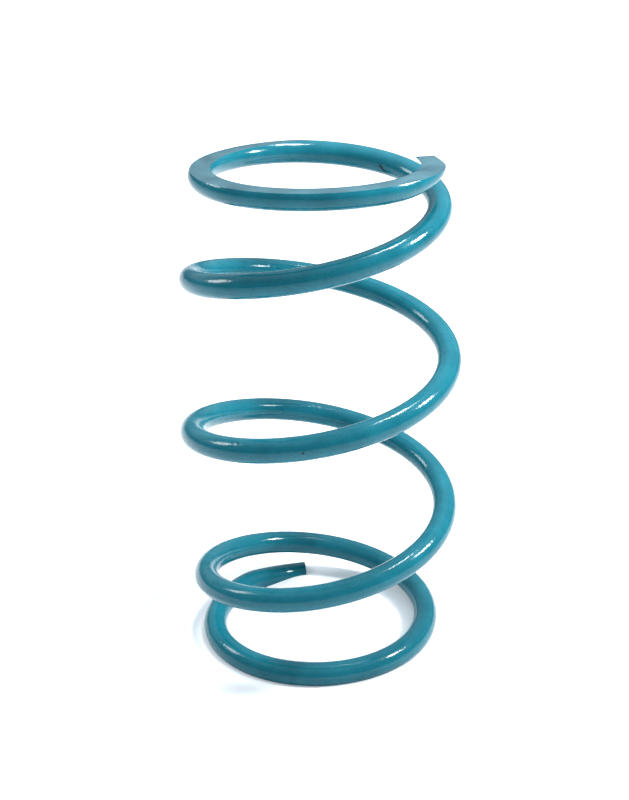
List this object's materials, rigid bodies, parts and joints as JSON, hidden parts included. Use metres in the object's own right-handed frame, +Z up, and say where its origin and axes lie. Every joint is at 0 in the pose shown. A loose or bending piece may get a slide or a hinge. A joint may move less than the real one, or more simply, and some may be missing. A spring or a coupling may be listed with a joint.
{
  "type": "coil spring",
  "caption": "Right-hand wound suspension compression spring of round painted steel wire, with closed ground ends and drawn-in end coils.",
  "frame": {"origin": "middle of the footprint's bounding square, on the plane that the lower end coil is ground to", "axes": "+Z up the spring from the lower ground seat to the upper one; the upper wire tip ends near +X and the lower one near +Y; right-hand wound, so the wire climbs counterclockwise seen from above"},
  "size_m": [0.1548, 0.1538, 0.2707],
  "materials": {
    "teal_paint": "gloss baked enamel, teal, slightly textured"
  },
  "bodies": {
    "lower_end": {"lower_tip": "teal_paint", "lower_coil_2": "teal_paint", "lower_coil_3": "teal_paint", "lower_coil_4": "teal_paint"},
    "active_01": {"active_coil_01": "teal_paint"},
    "active_02": {"active_coil_02": "teal_paint"},
    "active_03": {"active_coil_03": "teal_paint"},
    "active_04": {"active_coil_04": "teal_paint"},
    "active_05": {"active_coil_05": "teal_paint"},
    "active_06": {"active_coil_06": "teal_paint"},
    "active_07": {"active_coil_07": "teal_paint"},
    "active_08": {"active_coil_08": "teal_paint"},
    "active_09": {"active_coil_09": "teal_paint"},
    "active_10": {"active_coil_10": "teal_paint"},
    "active_11": {"active_coil_11": "teal_paint"},
    "active_12": {"active_coil_12": "teal_paint"},
    "active_13": {"active_coil_13": "teal_paint"},
    "upper_end": {"upper_coil_4": "teal_paint", "upper_coil_3": "teal_paint", "upper_coil_2": "teal_paint", "upper_tip": "teal_paint"}
  },
  "joints": [
    {"name": "coil_twist_01", "type": "hinge", "parent": "lower_end", "child": "active_01", "pos_m": [0.05618, 0.00881, 0.00729], "axis": [-0.5969, -0.8023, 0], "range_deg": [0, 1.25], "stiffness_Nm_per_rad": 300},
    {"name": "coil_twist_02", "type": "hinge", "parent": "active_01", "child": "active_02", "pos_m": [-0.01228, 0.06149, 0.02012], "axis": [0.9435, -0.3313, -0.0104], "range_deg": [0, 4.2], "stiffness_Nm_per_rad": 300},
    {"name": "coil_twist_03", "type": "hinge", "parent": "active_02", "child": "active_03", "pos_m": [-0.06708, -0.00934, 0.03861], "axis": [0.1064, 0.9939, -0.0301], "range_deg": [0, 7.86], "stiffness_Nm_per_rad": 300},
    {"name": "coil_twist_04", "type": "hinge", "parent": "active_03", "child": "active_04", "pos_m": [0.0074, -0.06722, 0.05668], "axis": [-0.9973, -0.0584, -0.0452], "range_deg": [0, 10.49], "stiffness_Nm_per_rad": 300},
    {"name": "coil_twist_05", "type": "hinge", "parent": "active_04", "child": "active_05", "pos_m": [0.06756, 0.00993, 0.07852], "axis": [0.1417, -0.9887, -0.0495], "range_deg": [0, 11.33], "stiffness_Nm_per_rad": 300},
    {"name": "coil_twist_06", "type": "hinge", "parent": "active_05", "child": "active_06", "pos_m": [-0.01098, 0.0697, 0.10375], "axis": [0.9888, 0.1408, -0.0495], "range_deg": [0, 11.33], "stiffness_Nm_per_rad": 300},
    {"name": "coil_twist_07", "type": "hinge", "parent": "active_06", "child": "active_07", "pos_m": [-0.07019, -0.00986, 0.12531], "axis": [-0.1398, 0.9889, -0.0495], "range_deg": [0, 11.33], "stiffness_Nm_per_rad": 300},
    {"name": "coil_twist_08", "type": "hinge", "parent": "active_07", "child": "active_08", "pos_m": [0.00979, -0.06972, 0.14348], "axis": [-0.9891, -0.1389, -0.0495], "range_deg": [0, 11.33], "stiffness_Nm_per_rad": 300},
    {"name": "coil_twist_09", "type": "hinge", "parent": "active_08", "child": "active_09", "pos_m": [0.07031, 0.00972, 0.1653], "axis": [0.1379, -0.9892, -0.0495], "range_deg": [0, 11.33], "stiffness_Nm_per_rad": 300},
    {"name": "coil_twist_10", "type": "hinge", "parent": "active_09", "child": "active_10", "pos_m": [-0.00836, 0.06943, 0.19053], "axis": [0.9893, 0.137, -0.0495], "range_deg": [0, 11.33], "stiffness_Nm_per_rad": 300},
    {"name": "coil_twist_11", "type": "hinge", "parent": "active_10", "child": "active_11", "pos_m": [-0.06571, -0.00928, 0.21211], "axis": [-0.2194, 0.9746, -0.0452], "range_deg": [0, 10.49], "stiffness_Nm_per_rad": 300},
    {"name": "coil_twist_12", "type": "hinge", "parent": "active_11", "child": "active_12", "pos_m": [0.01116, -0.06485, 0.23028], "axis": [-0.9258, -0.3769, -0.0301], "range_deg": [0, 7.86], "stiffness_Nm_per_rad": 300},
    {"name": "coil_twist_13", "type": "hinge", "parent": "active_12", "child": "active_13", "pos_m": [0.06527, 0.00846, 0.25034], "axis": [0.5791, -0.8152, -0.0104], "range_deg": [0, 4.2], "stiffness_Nm_per_rad": 300},
    {"name": "coil_twist_14", "type": "hinge", "parent": "active_13", "child": "upper_end", "pos_m": [-0.00504, 0.06135, 0.26415], "axis": [0.6062, 0.7953, 0], "range_deg": [0, 1.25], "stiffness_Nm_per_rad": 300}
  ],
  "couplings": [
    {"joint": "coil_twist_01", "follows": "coil_twist_08", "ratio": 0.11058},
    {"joint": "coil_twist_02", "follows": "coil_twist_08", "ratio": 0.37064},
    {"joint": "coil_twist_03", "follows": "coil_twist_08", "ratio": 0.69373},
    {"joint": "coil_twist_04", "follows": "coil_twist_08", "ratio": 0.92525},
    {"joint": "coil_twist_05", "follows": "coil_twist_08", "ratio": 1},
    {"joint": "coil_twist_06", "follows": "coil_twist_08", "ratio": 1},
    {"joint": "coil_twist_07", "follows": "coil_twist_08", "ratio": 1},
    {"joint": "coil_twist_09", "follows": "coil_twist_08", "ratio": 1},
    {"joint": "coil_twist_10", "follows": "coil_twist_08", "ratio": 1},
    {"joint": "coil_twist_11", "follows": "coil_twist_08", "ratio": 0.92525},
    {"joint": "coil_twist_12", "follows": "coil_twist_08", "ratio": 0.69373},
    {"joint": "coil_twist_13", "follows": "coil_twist_08", "ratio": 0.37064},
    {"joint": "coil_twist_14", "follows": "coil_twist_08", "ratio": 0.11058}
  ]
}
